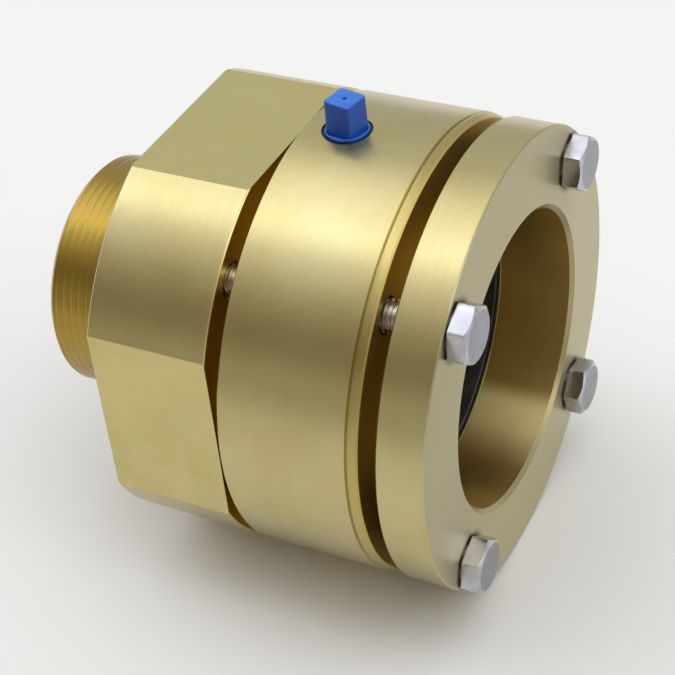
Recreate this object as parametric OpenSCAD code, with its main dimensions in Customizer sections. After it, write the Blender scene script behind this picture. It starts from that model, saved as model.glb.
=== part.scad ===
// Male adapter fitting for a double-walled pipe.
// Three turned brass bodies stand in line on the pipe axis, X, and four long bolts draw them together.
// The origin is on the axis, at the shoulder where the male thread starts. The pipe enters from +X.

/* [Brass bodies] */
// Outside diameter of the adapter body, the middle body and the clamp ring
body_d = 115; // [112:0.5:120]
// Length of the adapter body, from the thread shoulder to its open face
adapter_len = 31.5; // [30:0.5:38]
// Length of the middle body between its two end faces
middle_len = 35.2; // [34:0.1:42]
// Thickness of the clamp ring
ring_len = 11.8; // [9:0.1:16]
// Small chamfer on the outer edges
edge = 0.35; // [0.1:0.05:0.6]
// Distance from the outside of the bodies in to the bolt circle
bolt_inset = 7.5; // [6.8:0.1:9]

/* [Gaps left before tightening] */
// Gap between the adapter body and the middle body
gap_a = 3.7; // [1.5:0.1:4]
// Gap between the middle body and the clamp ring
gap_b = 4.7; // [2:0.1:5]

/* [Male thread] */
// Outside diameter of the male thread, nominal 2 inch
thread_d = 60.3; // [57:0.1:62]
// Length of the male thread from its end to the shoulder
thread_len = 29.3; // [20:0.1:36]
// Chamfer at the free end of the thread
thread_chamfer = 0.9; // [0.5:0.1:2.5]
// Wall of the threaded nipple, from the crests to the waterway
thread_wall = 5.15; // [3.5:0.05:8]

/* [Spanner flats] */
// Depth of a flat below the round of the adapter body
flat_depth = 5; // [3:0.1:7]

/* [Pipe entry] */
// Wall of the clamp ring's spigot, between the pipe bore and its outside
ring_spigot_wall = 4.95; // [3:0.05:6]
// Chamfer at the mouth of the bore
mouth_chamfer = 1.05; // [0.4:0.05:1.6]
// Distance from the bolt circle in to the outside of that spigot
ring_spigot_inset = 7.75; // [6:0.05:9]
// Length of the clamp ring's spigot
ring_spigot_len = 8; // [6:0.1:9]

/* [Outer seal] */
// Length of the outer rubber seal before it is squeezed
outer_seal_len = 13; // [11:0.1:14]
// How far the outer seal's lips stand inside the pipe bore
outer_seal_lip = 0.4; // [0.2:0.05:0.8]
// Thickness of the pressure washer between the clamp ring and the outer seal
pressure_washer_t = 1; // [0.8:0.1:1.5]

/* [Middle body] */
// Distance from the bolt circle in to the spigot that enters the adapter body
middle_spigot_inset = 7.5; // [6:0.1:8]
// Length of that spigot
middle_spigot_len = 12; // [10:0.1:12.5]
// Height of the step that stops the outer pipe, down to the leak-test chamber
pipe_stop_h = 3.5; // [2:0.1:4.5]
// Height of the step from that chamber down to the bore that clears the inner pipe
chamber_step = 5; // [3.5:0.1:5.5]
// Length of that chamber, which lies evenly under the test port
chamber_len = 9; // [7:0.5:10]
// Length of the pocket between the pipe stop and the outer seal's shoulder
pipe_pocket_len = 2.7; // [2:0.1:4]
// Distance from the open end of the middle body back to the turned groove
groove_back = 2.8; // [2.4:0.1:4]
// Fall of the narrow land between that groove and the bevel, below the body
land_fall = 0.3; // [0.1:0.05:0.4]
// Width of the turned groove
groove_w = 0.6; // [0.4:0.1:1]
// Depth of the turned groove
groove_depth = 0.6; // [0.4:0.1:1.2]
// Length of the bevel at the open end of the middle body
bevel_len = 1.5; // [0.8:0.1:1.9]
// Radial fall of that bevel
bevel_fall = 1.2; // [0.6:0.1:2]

/* [Inner seal and clamp] */
// Length of the inner seal before it is squeezed
inner_seal_len = 9; // [7:0.1:10]
// Play round the inner pipe in the bore that clears it
inner_pipe_play = 1.5; // [0.5:0.1:2.5]
// How far the inner seal stands inside the inner pipe's outside
inner_seal_lip = 1; // [0.5:0.1:2]
// Chamfer at the heel of the inner seal
inner_seal_heel = 1; // [0.5:0.1:1.5]
// Chamfer at its nose, where the inner pipe enters
inner_seal_nose = 2; // [1:0.1:3]
// Thickness of the inner thrust washer
thrust_washer_t = 2; // [1.5:0.1:2.5]
// Wall of the middle body's spigot, round the split clamp's flange
middle_spigot_wall = 4.3; // [3:0.1:4.5]
// Height of the split clamp's flange above its nose
flange_step = 3; // [2:0.1:4]
// Height of the ribs that grip the corrugated inner pipe
clamp_rib = 1.5; // [1:0.1:2]
// Number of those ribs' valleys
clamp_valleys = 2; // [1:1:3]
// Thickness of the split clamp's flange
flange_t = 6.5; // [5:0.5:8]
// Length of its nose, between the flange and the thrust washer
clamp_nose = 4; // [3:0.5:5]
// Gap between the two halves of the split clamp
clamp_split = 1; // [0.5:0.1:3]
// Thickness of the O-ring on the middle body's spigot
o_ring_t = 2.4; // [2:0.1:2.6]
// Distance of the O-ring's centre from the end of that spigot
o_ring_from_end = 4.5; // [4:0.1:6]

/* [Bolts] */
// Nominal diameter of the bolts
bolt_d = 8; // [7:0.1:8.5]
// Length of a bolt under its head
bolt_len = 70; // [66:1:72]
// Width across the flats of a bolt head
head_af = 13; // [12:0.1:13.5]
// Height of a bolt head
head_h = 5.3; // [4.5:0.1:6]
// Thickness of the round washer face under a head
washer_face_t = 0.4; // [0.2:0.05:0.6]
// Clearance round a bolt, on the radius, in the clamp ring and the middle body
bolt_clearance = 0.5; // [0.3:0.05:0.7]
// Depth of a tapped hole past the tip of its bolt when both gaps are closed
tap_spare = 1.5; // [1:0.5:4]
// Countersink at the mouth of a tapped hole
tap_mouth = 0.7; // [0.4:0.1:0.8]

/* [Test port and plug] */
// Core diameter of the port
port_d = 11.2; // [10.5:0.1:12]
// Step from the port out to the counterbore round the plug's collar
port_rim_step = 0.5; // [0.4:0.05:1.2]
// Depth of that counterbore below the crown of the body
port_rim_depth = 2; // [1.6:0.1:2.6]
// Hole from the port down to the leak-test chamber
leak_hole_d = 5; // [3:0.5:7]
// Length of the plug's threaded stem
plug_stem_len = 8; // [6:0.5:10]
// Depth of the port past the end of that stem
port_spare = 3; // [2:0.5:5]
// Gap between the plug's collar and that counterbore
collar_gap = 0.8; // [0.3:0.05:1.2]
// How far the collar stands above the crown of the body
collar_stand = 0.3; // [0:0.1:1]
// Depth of the plug's neck below its collar, where the sealing ring lies
neck_depth = 0.9; // [0.6:0.05:1.3]
// Thickness of the sealing ring under the collar
plug_seal_t = 1.2; // [0.8:0.1:1.3]
// Width across the plug's square head at its top
plug_head_af = 7; // [5.5:0.1:7.2]
// Height of the square head above the collar
plug_head_h = 8.1; // [5:0.1:9]
// How much wider the square head is at its foot
plug_head_taper = 0.2; // [0:0.1:1]

/* [Hidden] */
$fn = 96;

// Running clearance on the radius between a spigot or shank and its hole
fit = 0.05;
// Clearance at a soft piece and at faces that only bear on each other
seat = 0.1;
// Clearance round pieces that lie loose in a pocket
loose = 0.2;

// Radii from the outside of the bodies in to the inner pipe
body_r = body_d / 2;
bolt_circle_r = body_r - bolt_inset;
ring_spigot_r = bolt_circle_r - ring_spigot_inset;
outer_gland_r = ring_spigot_r + fit;
outer_stack_r = outer_gland_r - seat;
pipe_r = ring_spigot_r - ring_spigot_wall;
pipe_pocket_r = pipe_r + loose;
outer_seal_ir = pipe_r - outer_seal_lip;
chamber_r = pipe_pocket_r - pipe_stop_h;
inner_clear_r = chamber_r - chamber_step;
inner_pipe_r = inner_clear_r - inner_pipe_play;
inner_seal_ir = inner_pipe_r - inner_seal_lip;

// The spigot of the middle body, and the split clamp and gland inside it
spigot_r = bolt_circle_r - middle_spigot_inset;
socket_r = spigot_r + fit;
flange_pocket_r = spigot_r - middle_spigot_wall;
flange_r = flange_pocket_r - loose;
gland_r = flange_r - flange_step;
stack_r = gland_r - seat;

// The spanner flats, the nipple, the bolts and the port
flat_r = body_r - flat_depth;
thread_r = thread_d / 2;
waterway_r = thread_r - thread_wall;
bolt_r = bolt_d / 2;
port_r = port_d / 2;

// Stations along the axis, from the thread to the pipe entry
thread_end = -thread_len;
adapter_face = adapter_len;
middle_back = adapter_face + gap_a;
middle_front = middle_back + middle_len;
ring_back = middle_front + gap_b;
ring_front = ring_back + ring_len;
head_top = ring_front + head_h;
bolt_tip = ring_front - bolt_len;

// The gaps close, apart from this much, when the bolts are tight
closed_gap = 0.1;
travel_a = gap_a - closed_gap;
travel_b = gap_b - closed_gap;

// The spigot of the middle body and its socket in the adapter body
spigot_end = middle_back - middle_spigot_len;
socket_floor = spigot_end - travel_a - seat;

// The inner stack: seat, seal, thrust washer, split clamp
flange_start = spigot_end + loose;
flange_end = flange_start + flange_t;
clamp_start = flange_start - clamp_nose;
washer_end = clamp_start - seat;
washer_start = washer_end - thrust_washer_t;
inner_seal_end = washer_start - seat;
inner_seal_start = inner_seal_end - inner_seal_len;
seal_seat = inner_seal_start - seat;

// The shoulder of the middle body that the split clamp bears on
clamp_stop = flange_end + seat;

// The outer stack: shoulder, seal, pressure washer, ring spigot
ring_spigot_end = ring_back - ring_spigot_len;
pressure_end = ring_spigot_end - seat;
pressure_start = pressure_end - pressure_washer_t;
outer_seal_end = pressure_start - seat;
outer_seal_start = outer_seal_end - outer_seal_len;
outer_shoulder = outer_seal_start - seat;

// The pipe stop, and the leak-test chamber with the test port over its middle
pipe_stop = outer_shoulder - pipe_pocket_len;
chamber_start = pipe_stop - chamber_len;
port_x = chamber_start + chamber_len / 2;

// Tapped holes are deep enough for the bolts when both gaps are closed
tapped_floor = bolt_tip - travel_a - travel_b - tap_spare;

// The test port stands on +Z
rim_floor = body_r - port_rim_depth;
port_floor = rim_floor - plug_stem_len - port_spare;
collar_foot = rim_floor + seat + plug_seal_t + seat;
collar_top = body_r + collar_stand;
head_foot_af = plug_head_af + plug_head_taper;
rim_r = port_r + port_rim_step;
collar_r = rim_r - collar_gap;
neck_r = collar_r - neck_depth;

// Where a corner of each bolt head stands at rest, as an angle from +Y towards +Z
head_turns = [20.5, 25.2, 20.3, 49.3];
plug_turn = -12.4;

// A ring turned on the pipe axis, from points given as [radius, distance along the axis]
module turned(points) {
  rotate([0, 90, 0])
    rotate_extrude()
      polygon(points);
}

// A cylinder along the pipe axis between two stations
module bar(from, to, r) {
  translate([from, 0, 0])
    rotate([0, 90, 0])
      cylinder(h = to - from, r = r);
}

// Puts its children on the bolt circle at bolt number i, counted from 0
module at_bolt(i) {
  rotate([45 + 90 * i, 0, 0])
    translate([0, bolt_circle_r, 0])
      children();
}

module adapter_body() {
  color("darkkhaki")
    difference() {
      union() {
        intersection() {
          turned([[waterway_r, 0], [body_r - edge, 0], [body_r, edge],
                  [body_r, adapter_face - edge], [body_r - edge, adapter_face],
                  [socket_r + edge, adapter_face], [socket_r, adapter_face - edge],
                  [socket_r, socket_floor], [gland_r, socket_floor],
                  [gland_r, seal_seat], [waterway_r, seal_seat]]);
          four_flats();
        }
        turned([[waterway_r + edge, thread_end], [thread_r - thread_chamfer, thread_end],
                [thread_r, thread_end + thread_chamfer], [thread_r, edge],
                [waterway_r, edge], [waterway_r, thread_end + edge]]);
      }
      for (i = [0:3])
        at_bolt(i) {
          bar(tapped_floor, adapter_face + 1, bolt_r + fit);
          tapped_mouth();
        }
    }
}

// The square bar that leaves the spanner flats on the round body
module four_flats() {
  overshoot = 1;
  translate([-overshoot, -flat_r, -flat_r])
    cube([adapter_len + 2 * overshoot, 2 * flat_r, 2 * flat_r]);
}

// Countersink at the mouth of a tapped hole
module tapped_mouth() {
  overshoot = 0.01;
  translate([adapter_face - tap_mouth, 0, 0])
    rotate([0, 90, 0])
      cylinder(h = tap_mouth + overshoot, r1 = bolt_r + fit, r2 = bolt_r + fit + tap_mouth + overshoot);
}

module middle_body() {
  groove_start = middle_front - groove_back;
  groove_slope = 0.15;
  land_r = body_r - land_fall;
  o_groove_r = spigot_r - o_ring_t;
  o_groove_w = 1.3 * o_ring_t;
  o_groove_start = spigot_end + o_ring_from_end - o_groove_w / 2;
  o_groove_end = o_groove_start + o_groove_w;
  color("darkkhaki")
    difference() {
      turned([[flange_pocket_r, spigot_end], [spigot_r - edge, spigot_end], [spigot_r, spigot_end + edge],
              [spigot_r, o_groove_start], [o_groove_r, o_groove_start],
              [o_groove_r, o_groove_end], [spigot_r, o_groove_end],
              [spigot_r, middle_back], [body_r - edge, middle_back], [body_r, middle_back + edge],
              [body_r, groove_start], [body_r - groove_depth, groove_start + groove_slope],
              [land_r, groove_start + groove_w], [land_r, middle_front - bevel_len],
              [body_r - bevel_fall, middle_front],
              [outer_gland_r + edge, middle_front], [outer_gland_r, middle_front - edge],
              [outer_gland_r, outer_shoulder], [pipe_pocket_r, outer_shoulder],
              [pipe_pocket_r, pipe_stop], [chamber_r, pipe_stop],
              [chamber_r, chamber_start], [inner_clear_r, chamber_start],
              [inner_clear_r, clamp_stop], [flange_pocket_r, clamp_stop]]);
      for (i = [0:3])
        at_bolt(i)
          bar(middle_back - 1, middle_front + 1, bolt_r + bolt_clearance);
      test_port();
    }
}

// The threaded port, its counterbore and the small hole into the leak-test chamber
module test_port() {
  overlap = 1;
  translate([port_x, 0, 0]) {
    translate([0, 0, rim_floor])
      cylinder(h = port_rim_depth + 1, r = rim_r);
    translate([0, 0, port_floor])
      cylinder(h = rim_floor - port_floor + overlap, r = port_r);
    translate([0, 0, chamber_r - overlap])
      cylinder(h = port_floor - chamber_r + 2 * overlap, d = leak_hole_d);
  }
}

module clamp_ring() {
  color("darkkhaki")
    difference() {
      turned([[pipe_r + mouth_chamfer, ring_front], [body_r - edge, ring_front],
              [body_r, ring_front - edge], [body_r, ring_back + edge], [body_r - edge, ring_back],
              [ring_spigot_r, ring_back], [ring_spigot_r, ring_spigot_end + edge],
              [ring_spigot_r - edge, ring_spigot_end], [pipe_r, ring_spigot_end],
              [pipe_r, ring_front - mouth_chamfer]]);
      for (i = [0:3])
        at_bolt(i)
          bar(ring_back - 1, ring_front + 1, bolt_r + bolt_clearance);
    }
}

// One hexagon bolt: shank, round washer face and a head chamfered at 30 degrees
module hex_bolt(i) {
  point = 0.8;
  face_r = 0.9 * head_af / 2;
  crown_r = head_af / 2 - 0.5;
  corner_r = head_af / sqrt(3);
  outside_r = corner_r + 1;
  chamfer_fall = (outside_r - crown_r) * tan(30);
  head_foot = ring_front + washer_face_t;
  color("lightsteelblue")
    at_bolt(i)
      rotate([head_turns[i] - 45 - 90 * i, 0, 0]) {
        turned([[0, bolt_tip], [bolt_r - point, bolt_tip], [bolt_r, bolt_tip + point],
                [bolt_r, ring_front], [face_r, ring_front], [face_r, head_foot], [0, head_foot]]);
        intersection() {
          translate([head_foot, 0, 0])
            rotate([0, 90, 0])
              rotate([0, 0, 30])
                cylinder(h = head_h - washer_face_t, r = corner_r, $fn = 6);
          turned([[0, head_foot], [outside_r, head_foot], [outside_r, head_top - chamfer_fall],
                  [crown_r, head_top], [0, head_top]]);
        }
      }
}

module bolt_1() {
  hex_bolt(0);
}

module bolt_2() {
  hex_bolt(1);
}

module bolt_3() {
  hex_bolt(2);
}

module bolt_4() {
  hex_bolt(3);
}

// A wedge-nosed rubber ring that the split clamp squeezes on to the inner pipe
module inner_seal() {
  color("dimgray")
    turned([[inner_seal_ir + inner_seal_heel, inner_seal_start], [stack_r, inner_seal_start],
            [stack_r, inner_seal_end], [inner_seal_ir + inner_seal_nose, inner_seal_end],
            [inner_seal_ir, inner_seal_end - inner_seal_nose],
            [inner_seal_ir, inner_seal_start + inner_seal_heel]]);
}

module inner_thrust_washer() {
  color("silver")
    turned([[inner_pipe_r, washer_start], [stack_r, washer_start],
            [stack_r, washer_end], [inner_pipe_r, washer_end]]);
}

// The whole split clamp, before it is sawn in two: a nose, a flange and inside ribs
module clamp_blank() {
  crest_r = inner_pipe_r;
  root_r = crest_r + clamp_rib;
  inside_r = crest_r - 1;
  pitch = (flange_end - clamp_start) / clamp_valleys;
  half_mouth = 0.32 * pitch;
  half_floor = 0.18 * pitch;
  difference() {
    turned([[crest_r, clamp_start], [stack_r, clamp_start], [stack_r, flange_start],
            [flange_r, flange_start], [flange_r, flange_end], [crest_r, flange_end]]);
    for (i = [0:clamp_valleys - 1]) {
      x = clamp_start + pitch * (i + 0.5);
      turned([[inside_r, x - half_mouth], [root_r, x - half_floor], [root_r, x + half_floor],
              [inside_r, x + half_mouth]]);
    }
  }
}

// One half of the split clamp, above or below the saw cut
module clamp_half(side) {
  size = 2 * flange_r;
  overshoot = 1;
  lift = side > 0 ? clamp_split / 2 : -clamp_split / 2 - size;
  color("peru")
    intersection() {
      clamp_blank();
      translate([clamp_start - overshoot, -size, lift])
        cube([flange_end - clamp_start + 2 * overshoot, 2 * size, size]);
    }
}

module inner_clamp_half_top() {
  clamp_half(1);
}

module inner_clamp_half_bottom() {
  clamp_half(-1);
}

// The O-ring in the groove of the middle body's spigot
module spigot_o_ring() {
  ring_r = (o_ring_t - seat) / 2;
  color("black")
    translate([spigot_end + o_ring_from_end, 0, 0])
      rotate([0, 90, 0])
        rotate_extrude()
          translate([spigot_r - ring_r, 0])
            circle(r = ring_r, $fn = 32);
}

// The outer seal: a rubber packing with two lips towards the pipe
module outer_seal() {
  lip_depth = 1.2;
  lip_slope = 0.6;
  root_r = outer_seal_ir + lip_depth;
  first = outer_seal_start + outer_seal_len / 3;
  second = outer_seal_end - outer_seal_len / 3;
  color("black")
    turned([[outer_seal_ir, outer_seal_start], [outer_stack_r, outer_seal_start],
            [outer_stack_r, outer_seal_end], [outer_seal_ir, outer_seal_end],
            [outer_seal_ir, second + lip_slope], [root_r, second - lip_slope],
            [root_r, first + lip_slope], [outer_seal_ir, first - lip_slope]]);
}

module outer_pressure_washer() {
  round = 0.2;
  inner_r = pipe_r - outer_seal_lip / 2;
  color("silver")
    turned([[inner_r + round, pressure_start], [outer_stack_r, pressure_start],
            [outer_stack_r, pressure_end], [inner_r + round, pressure_end],
            [inner_r, pressure_end - round], [inner_r, pressure_start + round]]);
}

// The sealing ring that lies in the port's counterbore, under the plug's collar
module plug_seal_ring() {
  color("black")
    translate([port_x, 0, rim_floor + seat])
      difference() {
        cylinder(h = plug_seal_t, r = rim_r - seat);
        translate([0, 0, -1])
          cylinder(h = plug_seal_t + 2, r = neck_r + seat);
      }
}

// The plastic plug: threaded stem, neck, round collar and a tapered square head with a centre dimple
module test_plug() {
  dimple_r = 1.1;
  dimple_rise = 0.5;
  stem_foot = rim_floor - plug_stem_len;
  head_top_z = collar_top + plug_head_h;
  color("royalblue")
    translate([port_x, 0, 0])
      difference() {
        union() {
          translate([0, 0, stem_foot])
            cylinder(h = plug_stem_len, r = port_r - fit);
          translate([0, 0, stem_foot])
            cylinder(h = collar_top - stem_foot, r = neck_r);
          translate([0, 0, collar_foot])
            cylinder(h = collar_top - collar_foot - edge, r = collar_r);
          translate([0, 0, collar_top - edge])
            cylinder(h = edge, r1 = collar_r, r2 = collar_r - edge);
          rotate([0, 0, plug_turn])
            square_head(head_top_z);
        }
        translate([0, 0, head_top_z + dimple_rise])
          sphere(r = dimple_r, $fn = 32);
      }
}

// The tapered square of the plug's head, up to height z
module square_head(z) {
  rounding = 0.8;
  top_break = 0.3;
  plate_t = 0.1;
  hull() {
    translate([0, 0, collar_top - edge])
      rounded_square(head_foot_af, rounding, plate_t);
    translate([0, 0, z - top_break - plate_t])
      rounded_square(plug_head_af, rounding, plate_t);
    translate([0, 0, z - plate_t])
      rounded_square(plug_head_af - 2 * top_break, rounding - top_break, plate_t);
  }
}

// A thin square plate with round corners, centred on the plug's axis
module rounded_square(af, r, t) {
  half = af / 2 - r;
  linear_extrude(height = t)
    hull()
      for (x = [-half, half], y = [-half, half])
        translate([x, y])
          circle(r = r, $fn = 24);
}

adapter_body();
middle_body();
clamp_ring();
bolt_1();
bolt_2();
bolt_3();
bolt_4();
inner_seal();
inner_thrust_washer();
inner_clamp_half_top();
inner_clamp_half_bottom();
spigot_o_ring();
outer_seal();
outer_pressure_washer();
plug_seal_ring();
test_plug();
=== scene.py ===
import math

import bmesh
import bpy
from mathutils import Matrix, Vector


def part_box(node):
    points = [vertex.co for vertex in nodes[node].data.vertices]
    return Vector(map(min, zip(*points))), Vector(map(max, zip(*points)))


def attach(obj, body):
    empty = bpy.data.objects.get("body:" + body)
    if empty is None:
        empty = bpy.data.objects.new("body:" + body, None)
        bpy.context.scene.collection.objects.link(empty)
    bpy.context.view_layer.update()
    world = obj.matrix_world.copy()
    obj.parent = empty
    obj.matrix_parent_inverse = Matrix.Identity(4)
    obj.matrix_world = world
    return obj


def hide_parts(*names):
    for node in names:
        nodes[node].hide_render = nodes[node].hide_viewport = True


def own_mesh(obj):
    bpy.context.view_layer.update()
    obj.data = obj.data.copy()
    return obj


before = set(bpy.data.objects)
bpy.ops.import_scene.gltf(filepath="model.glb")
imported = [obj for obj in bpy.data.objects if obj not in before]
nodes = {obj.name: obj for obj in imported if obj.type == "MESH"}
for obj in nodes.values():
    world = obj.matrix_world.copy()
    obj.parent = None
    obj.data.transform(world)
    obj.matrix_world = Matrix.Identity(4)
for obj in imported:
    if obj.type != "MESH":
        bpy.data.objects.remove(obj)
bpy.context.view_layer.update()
mm = 0.001
print("frame loaded:", len(nodes), "nodes")


# One output of a node. Sums and products of wires and numbers add their own Math nodes.
class Wire:
    def __init__(self, recipe, socket):
        self.recipe = recipe
        self.socket = socket

    def calc(self, operation, *others):
        values = {i: v for i, v in enumerate((self,) + others)}
        return self.recipe.make("ShaderNodeMath", {"operation": operation}, values)

    def swapped(self, operation, first):
        return self.recipe.make("ShaderNodeMath", {"operation": operation}, {0: first, 1: self})

    def __add__(self, other):
        return self.calc("ADD", other)

    def __radd__(self, other):
        return self.swapped("ADD", other)

    def __sub__(self, other):
        return self.calc("SUBTRACT", other)

    def __rsub__(self, other):
        return self.swapped("SUBTRACT", other)

    def __mul__(self, other):
        return self.calc("MULTIPLY", other)

    def __truediv__(self, other):
        return self.calc("DIVIDE", other)

    def between(self, low, high, steps="SMOOTHSTEP"):
        settings = {"interpolation_type": steps}
        sockets = {"Value": self, "From Min": low, "From Max": high}
        return self.recipe.make("ShaderNodeMapRange", settings, sockets)


# A node tree under construction, for a material, the world or a Geometry Nodes group
class Recipe:
    def __init__(self, tree):
        self.tree = tree

    def make(self, kind, settings=None, sockets=None, out=0):
        node = self.tree.nodes.new(kind)
        for name, value in (settings or {}).items():
            if name == "stops":
                self.fillRamp(node.color_ramp, value)
            else:
                setattr(node, name, value)
        for name, value in (sockets or {}).items():
            if isinstance(value, Wire):
                self.tree.links.new(value.socket, node.inputs[name])
            else:
                node.inputs[name].default_value = value
        return Wire(self, node.outputs[out])

    def fillRamp(self, ramp, stops):
        while len(ramp.elements) < len(stops):
            ramp.elements.new(1.0)
        for element, (position, colour) in zip(ramp.elements, stops):
            element.position = position
            element.color = (*colour, 1.0)

    def mixColour(self, share, first, second, blend="MIX"):
        settings = {"data_type": "RGBA", "blend_type": blend}
        return self.make("ShaderNodeMix", settings, {0: share, 6: first, 7: second}, 2)


def rgba(colour):
    return (*colour, 1.0)


# Opens a material and hands its recipe and Principled node to the caller
def openMaterial(name):
    material = bpy.data.materials.new(name)
    material.use_nodes = True
    recipe = Recipe(material.node_tree)
    shader = material.node_tree.nodes["Principled BSDF"]
    return material, recipe, shader


def feed(recipe, shader, **sockets):
    names = {"colour": "Base Color", "roughness": "Roughness", "normal": "Normal"}
    for key, wire in sockets.items():
        recipe.tree.links.new(wire.socket, shader.inputs[names[key]])


def bumped(recipe, height, depth, strength=1.0):
    sockets = {"Strength": strength, "Distance": depth, "Height": height}
    return recipe.make("ShaderNodeBump", {}, sockets)


# Object coordinates split up, with the distance from the pipe axis as a fourth wire
def places(recipe):
    point = recipe.make("ShaderNodeTexCoord", out=3)
    split = recipe.make("ShaderNodeSeparateXYZ", {}, {0: point})
    x, y, z = (Wire(recipe, split.socket.node.outputs[i]) for i in range(3))
    radius = (y * y + z * z).calc("SQRT")
    return point, x, y, z, radius


# Which way the surface faces, split up
def facing(recipe):
    split = recipe.make("ShaderNodeSeparateXYZ", {}, {0: recipe.make("ShaderNodeTexCoord", out=1)})
    return [Wire(recipe, split.socket.node.outputs[i]) for i in range(3)]


def noise(recipe, scale, detail=2.0, roughness=0.5, vector=None, w=None):
    if w is not None:
        settings, sockets = {"noise_dimensions": "1D"}, {"W": w}
    else:
        settings, sockets = {"noise_dimensions": "3D"}, {"Vector": vector}
    sockets.update({"Scale": scale, "Detail": detail, "Roughness": roughness})
    return recipe.make("ShaderNodeTexNoise", settings, sockets)


brassLook = {
    "brass": (0.54, 0.462, 0.214),
    "paler": (0.58, 0.51, 0.262),
    "deeper": (0.49, 0.405, 0.165),
    "gapShadeAndGlow": (0.56, 0.405, 0.10),  # painted shade of faces hidden in a gap
    "cloudSize": 34.0,
    "toolMarks": 2600.0,  # marks per metre
    "coarseMarks": 500.0,
    "coarseShare": 0.8,
    "ringTint": 0.2,
    "fineScratches": 9000.0,
    "scratchStretch": 0.045,
    "sideScratches": 17.0,
    "hiddenScratches": 4.0,
    "markDepth": 0.0016 * mm,
    "roughness": 0.24,
    "roughnessSpread": 0.07,
    "hiddenDull": 0.06,
}


# Colour and roughness of brass, before any tool marks: cloudy tarnish over the plain metal
def brassTone(recipe, point, look):
    cloud = noise(recipe, look["cloudSize"], 3.0, 0.55, vector=point)
    tint = recipe.mixColour(cloud.between(0.35, 0.65), rgba(look["deeper"]), rgba(look["paler"]))
    tint = recipe.mixColour(0.5, tint, rgba(look["brass"]))
    return cloud, tint


# Painted shade round the bolt heads on the front face, strongest where they touch it
def shadeAtBolts(y, z, look):
    low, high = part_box("bolt_1")
    offset = (low.y + high.y) / 2
    fromY = y.calc("ABSOLUTE") - offset
    fromZ = z.calc("ABSOLUTE") - offset
    distance = (fromY * fromY + fromZ * fromZ).calc("SQRT")
    return (look["headRadius"] + look["boltShadeReach"] - distance).between(0.0, look["boltShadeReach"])


# The front face of the ring: painted shade above, painted light below, and painted shade at the bolts
def faceFinish(recipe, look, tint, rough, along, y, z):
    front = along.between(0.4, 0.9)
    # painted shade on the upper part of the face, painted light on the lower part
    shadedUpper = z.between(0.0, look["upperFade"]) * (look["upperEdge"] - y).between(0.0, look["upperFade"] / 2)
    litLower = (-look["lowerStart"] - z).between(0.0, look["lowerFade"])
    tone = recipe.mixColour(shadedUpper, rgba(look["faceTone"]), rgba(look["shadedUpperFace"]))
    tone = recipe.mixColour(litLower, tone, rgba(look["litLowerFace"]))
    tint = recipe.mixColour(front * look["endFace"], tint, tone)
    # painted shade round the bolt heads
    tint = recipe.mixColour(shadeAtBolts(y, z, look) * front, tint, rgba(look["boltShade"]))
    return tint, rough + front * look["faceDull"]


# The bore of the ring, painted lighter, with a painted highlight band along its wall, and the chamfer at
# its mouth painted darker, most at the top
def boreFinish(recipe, look, tint, rough, along, y, z, radius):
    nearBore = (look["boreEdge"] - radius).between(0.0, look["boreFade"])
    inBore = nearBore * (0.4 - along).between(0.0, 0.2)
    chamfer = nearBore * along.between(0.4, 0.6) * (0.9 - along).between(0.0, 0.1)
    shadedUpperChamfer = chamfer * z.between(*look["chamferFade"])
    turn = z.calc("ARCTAN2", y)
    start, peak, end = (math.radians(a) for a in look["highlightAngles"])
    highlightBand = turn.between(start, peak) * (end - turn).between(0.0, end - peak)
    # the bore wall painted lighter, with a painted highlight band
    tint = recipe.mixColour(inBore, tint, rgba(look["litBoreTone"]))
    tint = recipe.mixColour(inBore * highlightBand, tint, rgba(look["boreHighlight"]))
    # painted shade on the mouth chamfer, darker at its top
    tint = recipe.mixColour(chamfer, tint, rgba(look["shadedChamferTone"]))
    tint = recipe.mixColour(shadedUpperChamfer, tint, rgba(look["shadedUpperChamfer"]))
    return tint, rough + inBore * (look["boreDull"] + highlightBand * look["shineDull"]), inBore


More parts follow.
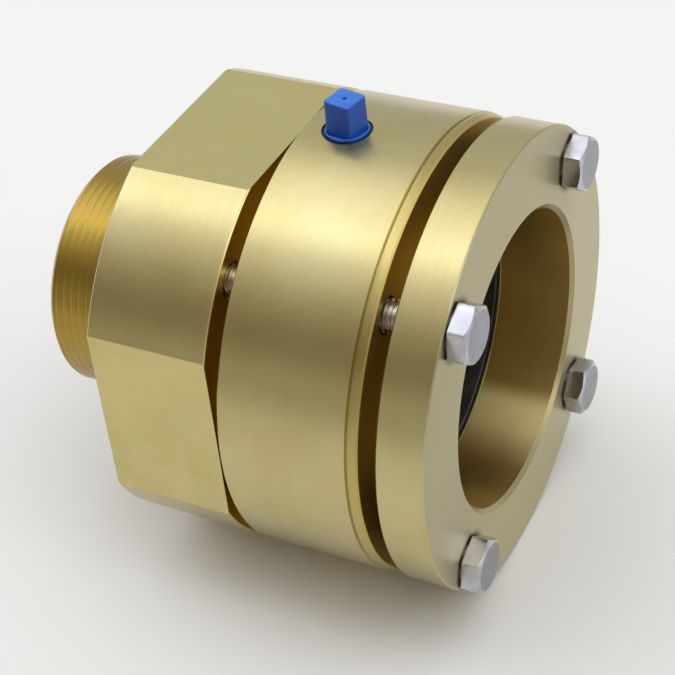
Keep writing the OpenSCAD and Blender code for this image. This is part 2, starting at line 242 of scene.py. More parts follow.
# Brass turned on a lathe: fine rings round the pipe axis, with short scratches on the round sides.
# Faces hidden in the gaps, told by the mask, are dull and get a tone painted for the light in the gap:
# shade in most gaps, a glow in the adapter's.
def turnedBrass(name, look, hiddenMask=None):
    material, recipe, shader = openMaterial(name)
    point, x, y, z, radius = places(recipe)
    along = facing(recipe)[0]
    faced = (along * along).calc("GREATER_THAN", 0.3)
    lathe = x + radius * faced
    fine = noise(recipe, look["toolMarks"], 3.0, 0.6, w=lathe)
    coarse = noise(recipe, look["coarseMarks"], 2.0, 0.5, w=lathe)
    cloud, tint = brassTone(recipe, point, look)
    rings = coarse * 0.6 + fine * 0.4
    tint = recipe.mixColour(rings.between(0.3, 0.7) * look["ringTint"], tint, rgba(look["paler"]))
    spread = look["roughnessSpread"]
    rough = look["roughness"] + (fine - 0.5) * spread + (cloud - 0.5) * spread
    scratchDepth = (1.0 - faced) * look["sideScratches"]
    if "landTone" in look:
        land = (x - look["landStart"]).between(0.0, look["landFade"]) * (1.0 - faced)
        tint = recipe.mixColour(land, tint, rgba(look["landTone"]))
    if "faceTone" in look:
        tint, rough = faceFinish(recipe, look, tint, rough, along, y, z)
    if "litBoreTone" in look:
        tint, rough, inBore = boreFinish(recipe, look, tint, rough, along, y, z, radius)
        scratchDepth = scratchDepth + inBore * (look["boreScratches"] - look["sideScratches"])
    if hiddenMask:
        hidden = hiddenMask(x, radius)
        # painted shade on the faces in the gaps; in the adapter's gap a painted glow
        tint = recipe.mixColour(hidden, tint, rgba(look["gapShadeAndGlow"]))
        rough = rough + hidden * look["hiddenDull"]
        scratchDepth = scratchDepth + hidden * look["hiddenScratches"]
    stretch = look["scratchStretch"]
    stretched = recipe.make("ShaderNodeCombineXYZ", {}, {"X": lathe, "Y": y * stretch, "Z": z * stretch})
    scratches = noise(recipe, look["fineScratches"], 0.0, 0.5, vector=stretched)
    height = scratches * scratchDepth + fine + coarse * look["coarseShare"]
    shader.inputs["Metallic"].default_value = 1.0
    feed(recipe, shader, colour=tint, roughness=rough, normal=bumped(recipe, height, look["markDepth"]))
    return material


milledLook = {
    **brassLook,
    "brass": (0.595, 0.50, 0.225),
    "paler": (0.64, 0.575, 0.30),
    "deeper": (0.53, 0.42, 0.155),
    # painted light on faces that look up
    "litTopTone": (0.665, 0.575, 0.255),
    "litTopShare": 0.8,
    "coolCloud": (0.95, 1.0, 1.0),
    "warmCloud": (1.0, 0.93, 0.8),
    "mottle": 120.0,
    "mottleTint": 0.35,
    "mottleDepth": 0.6,
    "mottleDull": 0.12,
    "strokes": 900.0,
    "strokeDepth": 0.35,
    "strokeDull": 0.05,
    "roughness": 0.27,
    "markDepth": 0.0012 * mm,
}


# Brass under a milling cutter: soft mottling with faint straight strokes along the pipe axis, and upward
# faces painted lighter
def milledBrass(name, look):
    material, recipe, shader = openMaterial(name)
    point, _, y, z, _ = places(recipe)
    cloud, tint = brassTone(recipe, point, look)
    mottle = noise(recipe, look["mottle"], 3.0, 0.6, vector=point)
    strokes = noise(recipe, look["strokes"], 2.0, 0.5, w=y + z)
    tint = recipe.mixColour(mottle.between(0.35, 0.7) * look["mottleTint"], tint, rgba(look["paler"]))
    # upward faces painted lighter, as lit from above
    litTopMask = facing(recipe)[2].between(0.7, 0.95)
    tint = recipe.mixColour(litTopMask * look["litTopShare"], tint, rgba(look["litTopTone"]))
    patch = recipe.mixColour(cloud.between(0.3, 0.7), rgba(look["coolCloud"]), rgba(look["warmCloud"]))
    tint = recipe.mixColour(1.0, tint, patch, "MULTIPLY")
    rough = look["roughness"] + (mottle - 0.5) * look["mottleDull"] + (strokes - 0.5) * look["strokeDull"]
    height = mottle * look["mottleDepth"] + strokes * look["strokeDepth"]
    shader.inputs["Metallic"].default_value = 1.0
    feed(recipe, shader, colour=tint, roughness=rough, normal=bumped(recipe, height, look["markDepth"]))
    return material


steelLook = {
    "steel": (0.56, 0.555, 0.59),
    "darker": (0.46, 0.45, 0.47),
    "endTone": (0.33, 0.325, 0.35),
    "shankBrassReflection": (0.55, 0.50, 0.47),
    "shankEnd": 80 * mm,
    "shankFade": 2 * mm,
    "roughness": 0.27,
    "cloudDull": 0.2,
    "pitDull": 0.12,
    "endDull": 0.16,
    "clouds": 160.0,
    "pits": 900.0,
    "pitDepth": 0.008 * mm,
    "pitStrength": 0.6,
}


# Cold-formed stainless steel: a dull shine with small forging pits; the shanks inside the gaps get a
# painted brown reflection of the brass
def stainless(name, look):
    material, recipe, shader = openMaterial(name)
    point, x = places(recipe)[:2]
    pits = noise(recipe, look["pits"], 3.0, 0.6, vector=point)
    cloud = noise(recipe, look["clouds"], 2.0, 0.5, vector=point)
    tint = recipe.mixColour(cloud.between(0.35, 0.7), rgba(look["steel"]), rgba(look["darker"]))
    # painted brown reflection of the brass on the shank inside the gaps
    shank = (look["shankEnd"] - x).between(0.0, look["shankFade"])
    tint = recipe.mixColour(shank, tint, rgba(look["shankBrassReflection"]))
    end = facing(recipe)[0].between(0.93, 0.99)
    tint = recipe.mixColour(end * (0.75 + pits.between(0.35, 0.6) * 0.25), tint, rgba(look["endTone"]))
    rough = look["roughness"] + (cloud - 0.5) * look["cloudDull"] + (pits - 0.5) * look["pitDull"]
    rough = rough + end * look["endDull"]
    height = pits * (0.4 + end)
    bump = bumped(recipe, height, look["pitDepth"], look["pitStrength"])
    shader.inputs["Metallic"].default_value = 1.0
    feed(recipe, shader, colour=tint, roughness=rough, normal=bump)
    return material


rubberLook = {
    "black": (0.012, 0.012, 0.013),
    "dusty": (0.035, 0.034, 0.033),
    "dust": 300.0,
    "grain": 2500.0,
    "grainDepth": 0.02 * mm,
    "grainStrength": 0.4,
    "roughness": 0.5,
    "dustDull": 0.25,
}


# Black rubber of the seals, with a little dust on it
def sealRubber(name, look):
    material, recipe, shader = openMaterial(name)
    point = recipe.make("ShaderNodeTexCoord", out=3)
    dust = noise(recipe, look["dust"], 4.0, 0.6, vector=point)
    grain = noise(recipe, look["grain"], 2.0, 0.5, vector=point)
    tint = recipe.mixColour(dust.between(0.4, 0.75), rgba(look["black"]), rgba(look["dusty"]))
    rough = look["roughness"] + (dust - 0.5) * look["dustDull"]
    bump = bumped(recipe, grain, look["grainDepth"], look["grainStrength"])
    feed(recipe, shader, colour=tint, roughness=rough, normal=bump)
    return material


plasticLook = {
    "blue": (0.008, 0.058, 0.34),
    "edge": (0.014, 0.08, 0.42),
    # painted light: the right side, the head's top and the collar's rim crest are lighter
    "litRightBlue": (0.014, 0.086, 0.44),
    "litTopBlue": (0.02, 0.14, 0.58),
    "litTopFlowBlue": (0.035, 0.19, 0.68),
    "rimTop": 57.75 * mm,
    "headShoulder": 63.5 * mm,
    "flow": 220.0,
    "flowDull": 0.2,
    "grain": 2600.0,
    "grainDepth": 0.03 * mm,
    "grainStrength": 0.35,
    "roughness": 0.3,
}


# Moulded plastic of the plug, with a slight flow pattern; the head's top and the collar's rim crest are
# painted lighter as lit from above, and the right side is painted lighter
def bluePlastic(name, look):
    material, recipe, shader = openMaterial(name)
    point, _, _, z, _ = places(recipe)
    flow = noise(recipe, look["flow"], 3.0, 0.55, vector=point)
    grain = noise(recipe, look["grain"], 2.0, 0.5, vector=point)
    across, _, up = facing(recipe)
    # painted light on the head's top and a painted highlight on the collar's rim crest, where the faces
    # look up
    high = (z - look["headShoulder"]).between(0.0, mm)
    aboveRim = z - look["rimTop"]
    crest = aboveRim.between(-0.1 * mm, 0.05 * mm) * (1.0 - aboveRim.between(0.2 * mm, 0.6 * mm))
    litTopMask = up.between(0.3, 0.95) * (crest + high)
    side = recipe.mixColour(flow.between(0.35, 0.7), rgba(look["blue"]), rgba(look["edge"]))
    # right side painted lighter, as lit
    side = recipe.mixColour(across.between(0.2, 0.7), side, rgba(look["litRightBlue"]))
    top = recipe.mixColour(flow.between(0.35, 0.7), rgba(look["litTopBlue"]), rgba(look["litTopFlowBlue"]))
    tint = recipe.mixColour(litTopMask, side, top)
    rough = look["roughness"] + (flow - 0.5) * look["flowDull"]
    bump = bumped(recipe, grain + flow, look["grainDepth"], look["grainStrength"])
    shader.inputs["Specular IOR Level"].default_value = 0.5
    feed(recipe, shader, colour=tint, roughness=rough, normal=bump)
    return material


# In the adapter's gap the tone is a painted glow, lighter and more orange than the brass
adapterLook = {**brassLook, "gapShadeAndGlow": (0.97, 0.71, 0.17)}
threadLook = {
    **brassLook,
    "brass": (0.37, 0.245, 0.045),
    "paler": (0.41, 0.28, 0.06),
    "deeper": (0.34, 0.21, 0.032),
    "roughness": 0.26,
}
middleLook = {
    **brassLook,
    # painted shade on the faces in the middle body's gap
    "gapShadeAndGlow": (0.52, 0.38, 0.10),
    "hiddenDull": 0.2,
    "landTone": (0.48, 0.385, 0.145),  # the strip in front of the groove
    "landStart": 68.1 * mm,
    "landFade": 0.1 * mm,
}
ringLook = {
    **brassLook,
    "faceTone": (0.485, 0.43, 0.265),
    # painted shade on the upper part of the front face
    "shadedUpperFace": (0.405, 0.36, 0.205),
    "upperEdge": 45 * mm,
    "upperFade": 30 * mm,
    # painted light on the lower part of the front face
    "litLowerFace": (0.535, 0.475, 0.285),
    "lowerStart": 15 * mm,
    "lowerFade": 25 * mm,
    "endFace": 0.85,
    "faceDull": 0.12,
    # painted shade round the bolt heads
    "boltShade": (0.12, 0.08, 0.025),
    "boltShadeReach": 2.6 * mm,
    "headRadius": 6.0 * mm,
    "boreEdge": 39.5 * mm,
    "boreFade": 0.3 * mm,
    # bore painted lighter, a painted highlight band on its wall, and painted shade on the mouth chamfer
    "litBoreTone": (0.84, 0.655, 0.285),
    "boreDull": 0.08,
    "boreScratches": 8.0,
    "boreHighlight": (0.98, 0.87, 0.42),
    "highlightAngles": (-95, -60, -50),  # start, peak and end of the painted highlight band, in degrees round the axis
    "shineDull": 0.22,
    "shadedChamferTone": (0.40, 0.33, 0.165),
    "shadedUpperChamfer": (0.24, 0.19, 0.09),
    "chamferFade": (8 * mm, 22 * mm),
}
clampLook = {**brassLook, "brass": (0.5, 0.38, 0.16), "roughness": 0.35}
# Steel of the washers deep in the bore, painted dark brown: painted shade, with a painted reflection of
# the brass round them
shadedWasherLook = {
    **steelLook,
    "steel": (0.22, 0.2, 0.1),
    "darker": (0.18, 0.165, 0.085),
    "endTone": (0.2, 0.18, 0.1),
    "shankBrassReflection": (0.22, 0.2, 0.1),
    "roughness": 0.34,
}

# Where the faces in the gaps, with their painted shade and glow, begin: how far below the outside, and
# where along the pipe axis
hiddenFaces = {
    "outside": 57.5 * mm,
    "rim": 0.05 * mm,
    "middleRim": 0.7 * mm,
    "fade": 0.5 * mm,
    "adapterStart": 20 * mm,
    "adapterFade": 2 * mm,
    "ringEnd": 75.6 * mm,
    "ringFade": 0.4 * mm,
    "ringInside": 38.5 * mm,
}


def belowRim(radius, start):
    return (hiddenFaces["outside"] - radius).between(start, start + hiddenFaces["fade"])


def adapterHidden(x, radius):
    along = (x - hiddenFaces["adapterStart"]).between(0.0, hiddenFaces["adapterFade"])
    return belowRim(radius, hiddenFaces["rim"]) * along


def middleHidden(x, radius):
    return belowRim(radius, hiddenFaces["middleRim"])


def ringHidden(x, radius):
    along = (hiddenFaces["ringEnd"] - x).between(0.0, hiddenFaces["ringFade"])
    outward = (radius - hiddenFaces["ringInside"]).between(0.0, hiddenFaces["fade"])
    return belowRim(radius, hiddenFaces["rim"]) * along * outward


adapterBrass = turnedBrass("adapterBrass", adapterLook, adapterHidden)
flatBrass = milledBrass("flatBrass", milledLook)
threadBrass = turnedBrass("threadBrass", threadLook)
middleBrass = turnedBrass("middleBrass", middleLook, middleHidden)
ringBrass = turnedBrass("ringBrass", ringLook, ringHidden)
clampBrass = turnedBrass("clampBrass", clampLook)
boltSteel = stainless("boltSteel", steelLook)
washerSteel = stainless("washerSteel", shadedWasherLook)
blackRubber = sealRubber("blackRubber", rubberLook)
plugPlastic = bluePlastic("plugPlastic", plasticLook)
print("materials made")


sharpAngle = 24.0  # edges steeper than this, in degrees, are shaded sharp
weld = 0.000002  # points nearer than this, in metres, are one


# A new mesh object at the origin, from a bmesh
def meshPiece(name, bm, material, body):
    mesh = bpy.data.meshes.new(name)
    bm.to_mesh(mesh)
    bm.free()
    # Normals that came with a CAD mesh don't fit a changed one
    if mesh.has_custom_normals:
        mesh.attributes.remove(mesh.attributes["custom_normal"])
    # Clearing the list sets every face back to the first finish
    mesh.materials.clear()
    mesh.materials.append(material)
    mesh.shade_smooth()
    mesh.set_sharp_from_angle(angle=math.radians(sharpAngle))
    piece = bpy.data.objects.new(name, mesh)
    bpy.context.scene.collection.objects.link(piece)
    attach(piece, body)
    return piece


# A CAD node that keeps its shape gets its finish here
def finishNode(name, material):
    node = nodes[name]
    node.data.materials.clear()
    node.data.materials.append(material)


# Inputs of a Geometry Nodes group are set by identifier, before the object is first evaluated
def addInput(tree, name, kind, default):
    socket = tree.interface.new_socket(name, in_out="INPUT", socket_type=kind)
    if default is not None:
        socket.default_value = default
    return socket.identifier


# A threaded cylinder along X: a grid whose rows follow the helix, so crests and roots stay crisp
def threadGroup():
    tree = bpy.data.node_groups.new("screwThread", "GeometryNodeTree")
    recipe = Recipe(tree)
    lengths = ("Crest", "Root", "Pitch", "Start", "End", "Start Radius", "End Radius")
    names = lengths + ("Floor Share", "Mouth Share")
    keys = {name: addInput(tree, name, "NodeSocketFloat", 0.0) for name in names}
    keys["Sides"] = addInput(tree, "Sides", "NodeSocketInt", 96)
    keys["Rows"] = addInput(tree, "Rows", "NodeSocketInt", 80)
    keys["Turns"] = addInput(tree, "Turns", "NodeSocketFloat", 10.0)
    keys["Material"] = addInput(tree, "Material", "NodeSocketMaterial", None)
    tree.interface.new_socket("Geometry", in_out="OUTPUT", socket_type="NodeSocketGeometry")
    entry = tree.nodes.new("NodeGroupInput")
    given = {socket.name: Wire(recipe, socket) for socket in entry.outputs if socket.name}
    columns, rows = given["Sides"] + 1.0, given["Rows"] + 1.0
    sizes = {"Size X": 1.0, "Size Y": 1.0, "Vertices X": columns, "Vertices Y": rows}
    grid = recipe.make("GeometryNodeMeshGrid", {}, sizes)
    uv = Wire(recipe, grid.socket.node.outputs[1])
    u = recipe.make("ShaderNodeSeparateXYZ", {}, {0: uv})
    v = Wire(recipe, u.socket.node.outputs[1])
    across = v * (given["Turns"] + 1.0)
    along = across - 1.0 + u
    x = given["Start"] + along * given["Pitch"]
    x = x.calc("MAXIMUM", given["Start"]).calc("MINIMUM", given["End"])
    fromFloor = (across.calc("FRACT") * 2.0 - 1.0).calc("ABSOLUTE")
    tooth = fromFloor.between(given["Floor Share"], given["Mouth Share"], "LINEAR")
    radius = given["Root"] + (given["Crest"] - given["Root"]) * tooth
    radius = radius.calc("MINIMUM", given["Start Radius"] + (x - given["Start"]))
    radius = radius.calc("MINIMUM", given["End Radius"] + (given["End"] - x))
    angle = u * (2.0 * math.pi)
    y, z = radius * angle.calc("COSINE"), radius * angle.calc("SINE")
    place = recipe.make("ShaderNodeCombineXYZ", {}, {0: x, 1: y, 2: z})
    moved = recipe.make("GeometryNodeSetPosition", {}, {"Geometry": grid, "Position": place})
    merged = recipe.make("GeometryNodeMergeByDistance", {}, {"Geometry": moved, "Distance": 2 * weld})
    real = recipe.make("GeometryNodeRealizeInstances", {}, {"Geometry": merged})
    painted = recipe.make("GeometryNodeSetMaterial", {}, {"Geometry": real, "Material": given["Material"]})
    leave = tree.nodes.new("NodeGroupOutput")
    tree.links.new(painted.socket, leave.inputs[0])
    return tree, keys


threadTree, threadKeys = threadGroup()


# Runs the thread group once and hands back a bmesh of its surface
def threadSurface(size, material):
    turns = math.ceil((size["end"] - size["start"]) / size["pitch"])
    values = {
        "Crest": size["crest"], "Root": size["root"], "Pitch": size["pitch"],
        "Start": size["start"], "End": size["end"],
        "Start Radius": size["startRadius"], "End Radius": size["endRadius"],
        "Floor Share": size["floorShare"], "Mouth Share": size["mouthShare"],
        "Sides": size["sides"], "Rows": (turns + 1) * size["rowsPerTurn"],
        "Turns": float(turns), "Material": material,
    }
    holder = bpy.data.objects.new("threadHolder", bpy.data.meshes.new("threadHolder"))
    bpy.context.scene.collection.objects.link(holder)
    modifier = holder.modifiers.new("thread", "NODES")
    modifier.node_group = threadTree
    for name, value in values.items():
        modifier[threadKeys[name]] = value
    bpy.context.view_layer.update()
    evaluated = holder.evaluated_get(bpy.context.evaluated_depsgraph_get())
    mesh = bpy.data.meshes.new_from_object(evaluated)
    bpy.data.objects.remove(holder)
    bm = bmesh.new()
    bm.from_mesh(mesh)
    bpy.data.meshes.remove(mesh)
    bmesh.ops.remove_doubles(bm, verts=bm.verts, dist=weld)
    bmesh.ops.dissolve_degenerate(bm, edges=bm.edges, dist=weld)
    return bm


def radiusOf(point):
    return math.hypot(point.y, point.z)


# The edges of the open rim of a surface that lies at x
def rimAt(bm, x):
    near = 0.05 * mm
    return [e for e in bm.edges if e.is_boundary and all(abs(v.co.x - x) < near for v in e.verts)]


# Adds a second bmesh to the first, and frees it
def absorb(bm, other):
    mesh = bpy.data.meshes.new("absorbed")
    other.to_mesh(mesh)
    other.free()
    bm.from_mesh(mesh)
    bpy.data.meshes.remove(mesh)


# Carries a rim on to a new ring at x and radius, and returns the new rim
def carryRim(bm, rim, x, radius):
    grown = bmesh.ops.extrude_edge_only(bm, edges=rim)["geom"]
    for v in (g for g in grown if isinstance(g, bmesh.types.BMVert)):
        scale = radius / radiusOf(v.co)
        v.co = Vector((x, v.co.y * scale, v.co.z * scale))
    return [g for g in grown if isinstance(g, bmesh.types.BMEdge) and g.is_boundary]


# Makes the edges sharp where two finishes meet, as along a milled flat
def crispBorders(mesh):
    bm = bmesh.new()
    bm.from_mesh(mesh)
    for edge in bm.edges:
        if len({face.material_index for face in edge.link_faces}) > 1:
            edge.smooth = False
    bm.to_mesh(mesh)
    bm.free()


nippleSize = {
    "crest": 30.45 * mm,
    "root": 30.33 * mm,
    "pitch": 2.209 * mm,
    "floorShare": 1 / 12,
    "mouthShare": 5 / 12,
    "start": -29.3 * mm,
    "end": -0.02 * mm,
    "startRadius": 29.25 * mm,
    "endRadius": 29.8 * mm,
    "sides": 180,
    "rowsPerTurn": 12,
    "waterway": 25.0 * mm,
    "innerChamfer": 0.35 * mm,
    "threadSide": -0.25 * mm,
    "flatRadius": 52.5 * mm,
    "flatPlay": 0.05 * mm,
    "flatSquare": 0.9999,
}


# The adapter body: the CAD shape with its plain nipple cut off and a threaded one in its place
def adapterPiece(size):
    bm = bmesh.new()
    bm.from_mesh(nodes["adapter_body"].data)
    bmesh.ops.remove_doubles(bm, verts=bm.verts, dist=weld / 2)
    everything = bm.verts[:] + bm.edges[:] + bm.faces[:]
    cut = bmesh.ops.bisect_plane(bm, geom=everything, plane_co=(size["end"], 0, 0), plane_no=(1, 0, 0),
                                 clear_inner=True)
    rims = [g for g in cut["geom_cut"] if isinstance(g, bmesh.types.BMEdge)]
    bmesh.ops.triangle_fill(bm, edges=rims, use_beauty=True, use_dissolve=False, normal=(-1, 0, 0))
    thread = threadSurface(size, adapterBrass)
    rim = rimAt(thread, size["start"])
    rim = carryRim(thread, rim, size["start"], size["waterway"] + size["innerChamfer"])
    rim = carryRim(thread, rim, size["start"] + size["innerChamfer"], size["waterway"])
    rim = carryRim(thread, rim, size["end"], size["waterway"])
    back = rimAt(thread, size["end"])
    outer = [e for e in back if radiusOf(e.verts[0].co) > size["waterway"] + mm]
    carryRim(thread, outer, size["end"], size["waterway"])
    bmesh.ops.remove_doubles(thread, verts=thread.verts, dist=weld)
    bmesh.ops.recalc_face_normals(thread, faces=thread.faces)
    absorb(bm, thread)
    piece = meshPiece("adapter_body_threaded", bm, adapterBrass, "adapter")
    piece.data.materials.append(flatBrass)
    piece.data.materials.append(threadBrass)
    for face in piece.data.polygons:
        out = max(abs(face.center.y), abs(face.center.z))
        square = max(abs(face.normal.y), abs(face.normal.z)) > size["flatSquare"]
        if square and abs(out - size["flatRadius"]) < size["flatPlay"]:
            face.material_index = 1
        elif face.center.x < size["threadSide"]:
            face.material_index = 2
    crispBorders(piece.data)
    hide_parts("adapter_body")


adapterPiece(nippleSize)
finishNode("middle_body", middleBrass)
finishNode("clamp_ring", ringBrass)
print("brass bodies finished")


boltSize = {
    "crest": 4.0 * mm,
    "root": 3.35 * mm,
    "pitch": 1.25 * mm,
    "floorShare": 1 / 6,
    "mouthShare": 5 / 6,
    "tipRadius": 3.1 * mm,
    "tipCentre": 0.5 * mm,
    "sides": 28,
    "rowsPerTurn": 12,
    "acrossFlats": 13.0 * mm,
    "headHeight": 5.3 * mm,
    "washerFace": 0.4 * mm,
    "washerShare": 0.45,
    "footHole": 3.45 * mm,
    "crown": 6.0 * mm,
    "crownSlope": 30,
    "cornerRound": 0.3 * mm,
    "edgeRound": 0.12 * mm,
    "topFall": 0.02 * mm,
    "sideSteps": 120,
}
boltBodies = {"bolt_1": "bolt_a", "bolt_2": "bolt_b", "bolt_3": "bolt_c", "bolt_4": "bolt_d"}
# How far each head is turned, in degrees
headCorners = {"bolt_1": 20.5, "bolt_2": 25.2, "bolt_3": 20.3, "bolt_4": 49.3}


# Distance from the bolt's axis to the side of its hexagon, with slightly rounded corners
def hexagonRadius(angle, size):
    half = size["acrossFlats"] / 2
    fromMiddle = (angle + math.pi / 6) % (math.pi / 3) - math.pi / 6
    sharp = half / math.cos(math.pi / 6 - abs(fromMiddle))
    corner = half / math.cos(math.pi / 6) - size["cornerRound"] * 0.35
    return min(sharp, corner)


# One bolt's head, turned with a hexagonal side and a coned crown
def boltHead(size, foot, corner):
    bm = bmesh.new()
    top = foot + size["headHeight"]
    face = foot + size["washerFace"]
    washerRadius = size["washerShare"] * size["acrossFlats"]
    crown, soft = size["crown"], size["edgeRound"]
    rings = []
    for i in range(size["sideSteps"]):
        angle = 2 * math.pi * i / size["sideSteps"]
        hexR = hexagonRadius(angle, size)
        fall = max(0.0, hexR - crown) * math.tan(math.radians(size["crownSlope"]))
        profile = [
            (foot, size["footHole"]), (foot, washerRadius), (face, washerRadius),
            (face, hexR - soft), (face + soft, hexR),
            (top - fall - soft, hexR), (top - fall, hexR - soft),
            (top - size["topFall"], crown), (top, crown - soft * 2),
        ]
        turned = angle + math.radians(corner)
        rings.append([bm.verts.new((x, r * math.cos(turned), r * math.sin(turned))) for x, r in profile])
    centre = bm.verts.new((top, 0, 0))
    for i, ring in enumerate(rings):
        after = rings[(i + 1) % len(rings)]
        for k in range(len(ring) - 1):
            bm.faces.new((ring[k], after[k], after[k + 1], ring[k + 1]))
        bm.faces.new((ring[-1], after[-1], centre))
    return bm


# One bolt: the threaded shank with its head
def boltPiece(name, size):
    low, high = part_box(name)
    foot = high.x - size["headHeight"]
    centreY, centreZ = (low.y + high.y) / 2, (low.z + high.z) / 2
    ends = {"start": low.x, "end": foot, "startRadius": size["tipRadius"], "endRadius": size["root"]}
    bm = threadSurface({**size, **ends}, boltSteel)
    rim = rimAt(bm, low.x)
    tip = carryRim(bm, rim, low.x, size["tipCentre"])
    bmesh.ops.holes_fill(bm, edges=tip, sides=size["sides"] + 2)
    absorb(bm, boltHead(size, foot, headCorners[name]))
    bmesh.ops.remove_doubles(bm, verts=bm.verts, dist=weld)
    # Closes the narrow ring between the shank and the foot of the head
    seam = [edge for edge in bm.edges if edge.is_boundary]
    bmesh.ops.triangle_fill(bm, edges=seam, use_beauty=True, use_dissolve=False, normal=(-1, 0, 0))
    bmesh.ops.recalc_face_normals(bm, faces=bm.faces)
    bmesh.ops.translate(bm, vec=(0, centreY, centreZ), verts=bm.verts)
    piece = meshPiece(name + "_threaded", bm, boltSteel, boltBodies[name])
    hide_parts(name)


for boltName in boltBodies:
    boltPiece(boltName, boltSize)
print("bolts made")


plugSize = {
    "portX": 45.6 * mm,
    "turn": -12.4,  # of the square head, in degrees
    "footAcross": 7.5 * mm,
    "topAcross": 7.36 * mm,
    "headHeight": 8.1 * mm,
    "headFoot": 0.3 * mm,
    "round": 1.0 * mm,
    "bevel": 0.55 * mm,
    "dimpleRadius": 0.6 * mm,
    "dimpleDepth": 0.9 * mm,
    "dimpleShares": (0.97, 0.9, 0.75, 0.5, 0.25),
    "collarTop": 57.8 * mm,
    "collarFoot": 56.9 * mm,
    "collarRadius": 5.3 * mm,
    "lip": 0.22 * mm,
    "lipPlay": 0.03 * mm,
    "channel": 0.7 * mm,
    "channelEdge": 0.05 * mm,
    # Height over the channel's floor, spread past the head, and least distance to the lip
    "channelSteps": (
        (0.0, 0.25 * mm, 0.01 * mm),
        (0.1 * mm, 0.1 * mm, 0.03 * mm),
        (0.5 * mm, 0.0, 0.05 * mm),
    ),
    "edge": 0.1 * mm,
    "edgeHeight": 0.12 * mm,
    "stemRadius": 5.55 * mm,
    "neckRadius": 4.4 * mm,
    "stemTop": 55.5 * mm,
    "stemFoot": 47.5 * mm,
    "stemLead": 0.6 * mm,
    "steps": 160,
}


# Distance from the centre of a square with round corners to its side
def squareRadius(angle, across, rounding):
    half = across / 2
    fromCorner = angle % (math.pi / 2) - math.pi / 4
    inner = half - rounding
    if abs(fromCorner) >= math.pi / 4 - math.atan2(inner, half):
        return half / math.cos(math.pi / 4 - abs(fromCorner))
    reach = math.sqrt(2) * inner * math.cos(fromCorner)
    return reach + math.sqrt(max(0.0, rounding ** 2 - 2 * (inner * math.sin(fromCorner)) ** 2))


# The plug: stem, neck and collar turned, and a tapered square head with a dimple in its top
def plugPiece(size):
    bm = bmesh.new()
    top = size["collarTop"] + size["headHeight"]
    rim, lip, bevel = size["collarRadius"], size["lip"], size["bevel"]
    crest, ledge = rim - lip, size["collarTop"] - size["channel"]
    wall = crest - lip - size["lipPlay"]
    rings = []
    for i in range(size["steps"]):
        angle = 2 * math.pi * i / size["steps"]
        foot = squareRadius(angle, size["footAcross"], size["round"])
        head = squareRadius(angle, size["topAcross"], size["round"])
        profile = [
            (size["stemFoot"], size["neckRadius"]),
            (size["stemFoot"] + size["stemLead"], size["stemRadius"]),
            (size["stemTop"] - size["edge"], size["stemRadius"]),
            (size["stemTop"], size["neckRadius"]),
            (size["collarFoot"], size["neckRadius"]),
            (size["collarFoot"], rim - size["edge"]),
            (size["collarFoot"] + size["edgeHeight"], rim),
        ]
        for degrees in range(0, 181, 30):
            rise = math.radians(degrees)
            profile.append((size["collarTop"] - lip + lip * math.sin(rise), crest + lip * math.cos(rise)))
        profile.append((ledge + size["channelEdge"], wall))
        for height, spread, gap in size["channelSteps"]:
            profile.append((ledge + height, min(foot + spread, wall - gap)))
        profile.append((size["collarTop"] + size["headFoot"], foot))
        for degrees in range(0, 91, 18):
            rise = math.radians(degrees)
            profile.append((top - bevel + bevel * math.sin(rise), head - bevel + bevel * math.cos(rise)))
        for share in size["dimpleShares"]:
            depth = size["dimpleDepth"] * math.sqrt(1 - share ** 2)
            profile.append((top - depth, size["dimpleRadius"] * share))
        turned = angle + math.radians(size["turn"])
        toX, toY = math.cos(turned), math.sin(turned)
        rings.append([bm.verts.new((size["portX"] + r * toX, r * toY, z)) for z, r in profile])
    floor = bm.verts.new((size["portX"], 0, top - size["dimpleDepth"]))
    under = bm.verts.new((size["portX"], 0, size["stemFoot"]))
    for i, ring in enumerate(rings):
        after = rings[(i + 1) % len(rings)]
        for k in range(len(ring) - 1):
            bm.faces.new((ring[k], after[k], after[k + 1], ring[k + 1]))
        bm.faces.new((ring[-1], after[-1], floor))
        bm.faces.new((after[0], ring[0], under))
    bmesh.ops.recalc_face_normals(bm, faces=bm.faces)
    piece = meshPiece("test_plug_moulded", bm, plugPlastic, "plug")
    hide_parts("test_plug")


plugPiece(plugSize)
finishNode("plug_seal_ring", blackRubber)
print("plug made")


# A rubber ring turned about the pipe axis from a closed profile of (x, radius) points
def rubberRing(name, profile, body, node, steps=192):
    bm = bmesh.new()
    rings = []
    for i in range(steps):
        angle = 2 * math.pi * i / steps
        rings.append([bm.verts.new((x, r * math.cos(angle), r * math.sin(angle))) for x, r in profile])
    for i, ring in enumerate(rings):
        after = rings[(i + 1) % steps]
        for k in range(len(ring)):
            m = (k + 1) % len(ring)
            bm.faces.new((ring[k], after[k], after[m], ring[m]))
    bmesh.ops.recalc_face_normals(bm, faces=bm.faces)
    piece = meshPiece(name, bm, blackRubber, body)
    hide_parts(node)
    return piece


outerSealSize = {"lip": 36.9 * mm, "depth": 1.2 * mm, "outside": 42.2 * mm, "soft": 0.4 * mm}
innerSealSize = {"inside": 26.5 * mm, "backBevel": 1.0 * mm, "frontBevel": 2.0 * mm}


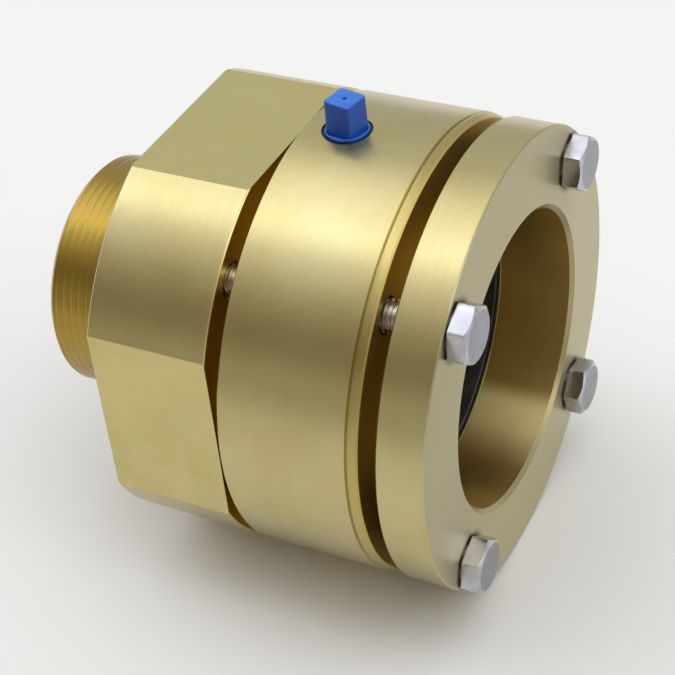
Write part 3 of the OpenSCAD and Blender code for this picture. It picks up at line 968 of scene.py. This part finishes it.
# Two lips with a groove between them
def outerSeal(size):
    low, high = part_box("outer_seal")
    third = (high.x - low.x) / 3
    inner, outer, soft = size["lip"], size["outside"], size["soft"]
    root, shoulder = inner + size["depth"], inner + soft / 2
    backLip, frontLip = low.x + third, high.x - third
    profile = [
        (low.x + soft, inner), (backLip - 2 * soft, inner), (backLip - soft, shoulder),
        (backLip + soft, root), (frontLip - soft, root),
        (frontLip + soft, shoulder), (frontLip + 2 * soft, inner),
        (high.x - soft, inner), (high.x, inner + soft), (high.x, outer - soft), (high.x - soft, outer),
        (low.x + soft, outer), (low.x, outer - soft), (low.x, inner + soft),
    ]
    piece = rubberRing("outer_seal_soft", profile, "middle", "outer_seal")
    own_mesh(piece)


# A plain ring with bevelled inner corners
def innerSeal(size):
    low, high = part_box("inner_seal")
    inner, outer, back, front = size["inside"], high.y, size["backBevel"], size["frontBevel"]
    profile = [
        (low.x, inner + back), (low.x + back, inner), (high.x - front, inner), (high.x, inner + front),
        (high.x, outer), (low.x, outer),
    ]
    piece = rubberRing("inner_seal_soft", profile, "adapter", "inner_seal")
    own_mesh(piece)


outerSeal(outerSealSize)
innerSeal(innerSealSize)
finishNode("spigot_o_ring", blackRubber)
finishNode("outer_pressure_washer", washerSteel)
finishNode("inner_thrust_washer", washerSteel)
finishNode("inner_clamp_half_top", clampBrass)
finishNode("inner_clamp_half_bottom", clampBrass)
print("seals and washers finished")


# Camera and studio
view = {
    "place": (0.2154, -0.3107, 0.2751),
    "right": (0.8957, 0.4363, -0.0864),
    "up": (-0.2107, 0.5873, 0.7815),
    "lens": 95.18,
    "sensor": 36.0,
    "nearest": 0.01,
}


def placeCamera(look):
    data = bpy.data.cameras.new("camera")
    data.lens = look["lens"]
    data.sensor_width = look["sensor"]
    data.clip_start = look["nearest"]
    camera = bpy.data.objects.new("camera", data)
    bpy.context.scene.collection.objects.link(camera)
    right = Vector(look["right"]).normalized()
    back = right.cross(Vector(look["up"])).normalized()
    up = back.cross(right)
    turn = Matrix((right, up, back)).transposed().to_4x4()
    camera.matrix_world = Matrix.Translation(look["place"]) @ turn
    bpy.context.scene.camera = camera


studio = {
    "floorLevel": -57.6 * mm,
    "floorSize": 6.0,
    "floorColour": (0.83, 0.81, 0.765),
    # painted shade on the floor, darker towards the front
    "shadedFarFloor": (0.46, 0.43, 0.375),
    "farStart": -0.06,
    "farFade": 0.6,
    "floorRoughness": 0.7,
    # Light of the room by its angle from the back horizon, over the top, to the front one, in degrees
    "room": (
        (0, (0.56, 0.56, 0.56)),
        (12, (0.63, 0.64, 0.67)),
        (30, (0.66, 0.68, 0.71)),
        (50, (0.70, 0.71, 0.72)),
        (60, (1.01, 1.03, 1.08)),
        (70, (1.42, 1.45, 1.52)),
        (80, (1.62, 1.66, 1.77)),
        (92, (1.93, 2.0, 2.22)),
        (100, (2.2, 2.32, 2.55)),
        (104, (1.9, 1.97, 2.15)),
        (112, (1.12, 1.14, 1.2)),
        (122, (0.88, 0.88, 0.87)),
        (132, (0.545, 0.52, 0.475)),
        (142, (0.405, 0.37, 0.315)),
        (152, (0.265, 0.23, 0.175)),
        (162, (0.32, 0.3, 0.25)),
        (172, (0.51, 0.485, 0.435)),
        (180, (0.48, 0.455, 0.415)),
    ),
}


def paintRoom(look):
    world = bpy.data.worlds.new("studio")
    world.use_nodes = True
    bpy.context.scene.world = world
    recipe = Recipe(world.node_tree)
    direction = recipe.make("ShaderNodeTexCoord", out=0)
    split = recipe.make("ShaderNodeSeparateXYZ", {}, {0: direction})
    y, z = (Wire(recipe, split.socket.node.outputs[i]) for i in (1, 2))
    angle = z.calc("MAXIMUM", 0.0).calc("ARCTAN2", y) / math.pi
    stops = [(degrees / 180, colour) for degrees, colour in look["room"]]
    ramp = recipe.make("ShaderNodeValToRGB", {"stops": stops}, {0: angle})
    background = world.node_tree.nodes["Background"]
    world.node_tree.links.new(ramp.socket, background.inputs["Color"])


def layFloor(look):
    half, level = look["floorSize"] / 2, look["floorLevel"]
    bm = bmesh.new()
    square = ((-half, -half), (half, -half), (half, half), (-half, half))
    bm.faces.new([bm.verts.new((x, y, level)) for x, y in square])
    mesh = bpy.data.meshes.new("floor")
    bm.to_mesh(mesh)
    bm.free()
    material, recipe, shader = openMaterial("floorPaper")
    y = places(recipe)[2]
    # painted shade on the floor, darker towards the front
    farShade = (look["farStart"] - y).between(0.0, look["farFade"], "LINEAR")
    feed(recipe, shader, colour=recipe.mixColour(farShade, rgba(look["floorColour"]), rgba(look["shadedFarFloor"])))
    shader.inputs["Roughness"].default_value = look["floorRoughness"]
    mesh.materials.append(material)
    floor = bpy.data.objects.new("floor", mesh)
    bpy.context.scene.collection.objects.link(floor)


placeCamera(view)
paintRoom(studio)
layFloor(studio)
bpy.context.scene.view_settings.view_transform = "Standard"
print("studio set")
